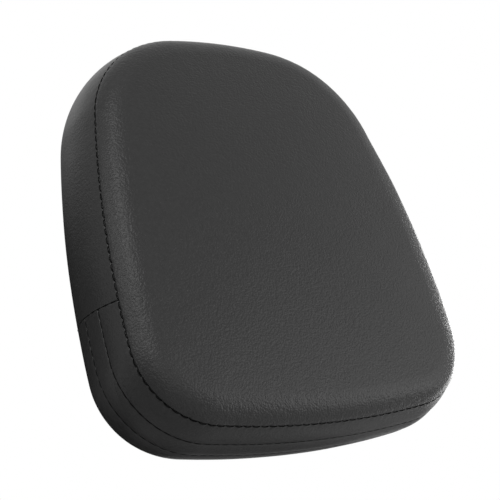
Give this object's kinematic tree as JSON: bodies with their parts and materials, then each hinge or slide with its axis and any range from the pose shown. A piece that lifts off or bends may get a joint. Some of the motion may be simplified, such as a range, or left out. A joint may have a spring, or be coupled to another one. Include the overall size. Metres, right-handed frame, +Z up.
{
  "type": "motorcycle sissy bar pad",
  "caption": "Upholstered backrest pad for a motorcycle sissy bar: a rounded, tapering cushion with a crowned face, pleated lower side band and flat back with threaded inserts.",
  "frame": {"origin": "centre of the threaded insert pattern, on the flat back of the base pan's land", "axes": "+X across the pad to the right as seen from the face, +Z up toward the narrower end, +Y out of the back toward the sissy bar, so the padded face looks along -Y"},
  "size_m": [0.2354, 0.0702, 0.2632],
  "materials": {
    "cover": "black grained vinyl, soft sheen",
    "foam": "moulded seat foam, open cells",
    "pan": "moulded black plastic, fine texture",
    "insert": "zinc plated steel",
    "staple": "bright galvanised wire",
    "thread": "black bonded upholstery thread"
  },
  "bodies": {
    "root": {"face_panel": "cover", "upper_side_band": "cover", "lower_side_band": "cover", "foam_core": "foam", "base_pan": "pan", "threaded_insert_1": "insert", "threaded_insert_2": "insert", "threaded_insert_3": "insert", "threaded_insert_4": "insert", "hem_staples": "staple", "face_seam_stitches": "thread"}
  },
  "joints": []
}
